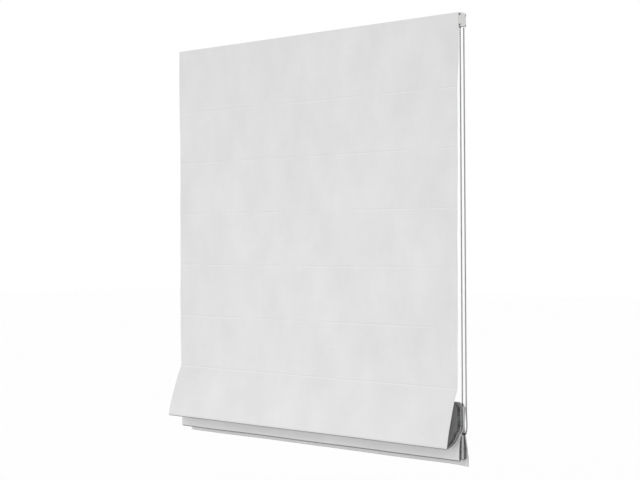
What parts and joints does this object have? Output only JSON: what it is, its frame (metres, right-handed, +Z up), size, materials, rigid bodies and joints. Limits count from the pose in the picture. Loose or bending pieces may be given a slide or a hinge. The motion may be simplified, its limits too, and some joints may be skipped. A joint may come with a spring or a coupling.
{
  "type": "roman blind",
  "caption": "Roman blind, partly raised, with one open fold, a gathered stack, a slim headrail and a bead chain drive.",
  "frame": {"origin": "on the top face of the middle bracket, midway between its two screw holes", "axes": "+X along the width towards the chain, -Y to the room, +Z up"},
  "size_m": [1.1086, 0.1125, 1.2711],
  "materials": {
    "aluminium": "mill finish, satin",
    "tape": "woven hook tape",
    "white_plastic": "fine satin",
    "clear_plastic": "natural",
    "steel": "zinc plated",
    "cloth": "plain weave, grey coated back",
    "bar_metal": "white paint",
    "chain_metal": "nickel",
    "glass_fibre": "pultruded rod",
    "cord": "braided"
  },
  "bodies": {
    "headrail": {"headrail": "aluminium", "hook_tape": "tape", "end_cap": "white_plastic", "control_housing": "white_plastic", "housing_cover": "white_plastic", "bracket_1": "steel", "bracket_2": "steel", "bracket_3": "steel", "cradle_1": "white_plastic", "cradle_2": "white_plastic", "cradle_3": "white_plastic", "cradle_4": "white_plastic", "cloth_upper": "cloth", "lift_cord_1": "cord", "lift_cord_2": "cord", "lift_cord_3": "cord", "lift_cord_4": "cord", "bead_chain": "chain_metal", "chain_over_wheel": "chain_metal", "chain_connector": "chain_metal"},
    "stack": {"cloth_lower": "cloth", "batten_3": "glass_fibre", "rings_3": "clear_plastic", "batten_4": "glass_fibre", "rings_4": "clear_plastic", "batten_5": "glass_fibre", "rings_5": "clear_plastic", "batten_6": "glass_fibre", "rings_6": "clear_plastic", "bottom_bar": "bar_metal", "bar_cap_left": "clear_plastic", "bar_cap_right": "clear_plastic", "cord_tail_1": "cord", "cord_tail_2": "cord", "cord_tail_3": "cord", "cord_tail_4": "cord", "cord_stop_1": "clear_plastic", "cord_stop_2": "clear_plastic", "cord_stop_3": "clear_plastic", "cord_stop_4": "clear_plastic"},
    "batten_1": {"batten_1": "glass_fibre", "rings_1": "clear_plastic"},
    "batten_2": {"batten_2": "glass_fibre", "rings_2": "clear_plastic"},
    "drive": {"chain_wheel": "clear_plastic", "drive_shaft": "steel", "spool_1": "clear_plastic", "spool_2": "clear_plastic", "spool_3": "clear_plastic", "spool_4": "clear_plastic"}
  },
  "joints": [
    {"name": "lift", "type": "slide", "parent": "headrail", "child": "stack", "axis": [0, 0, 1], "range_m": [0, 0.9], "deforming": ["cloth_upper", "lift_cord_1", "lift_cord_2", "lift_cord_3", "lift_cord_4"]},
    {"name": "batten_1_lift", "type": "slide", "parent": "headrail", "child": "batten_1", "axis": [0, 0, 1], "range_m": [0, 0.3222]},
    {"name": "batten_2_lift", "type": "slide", "parent": "headrail", "child": "batten_2", "axis": [0, 0, 1], "range_m": [0, 0.6112]},
    {"name": "drive_turn", "type": "hinge", "parent": "headrail", "child": "drive", "pos_m": [0, -0.0015, -0.021], "axis": [-1, 0, 0], "range_deg": [0, 5940]}
  ],
  "couplings": [
    {"joint": "batten_1_lift", "follows": "lift", "ratio": 0.35782},
    {"joint": "batten_2_lift", "follows": "lift", "ratio": 0.67891},
    {"joint": "drive_turn", "follows": "lift", "rad_per_m": 114.94}
  ]
}
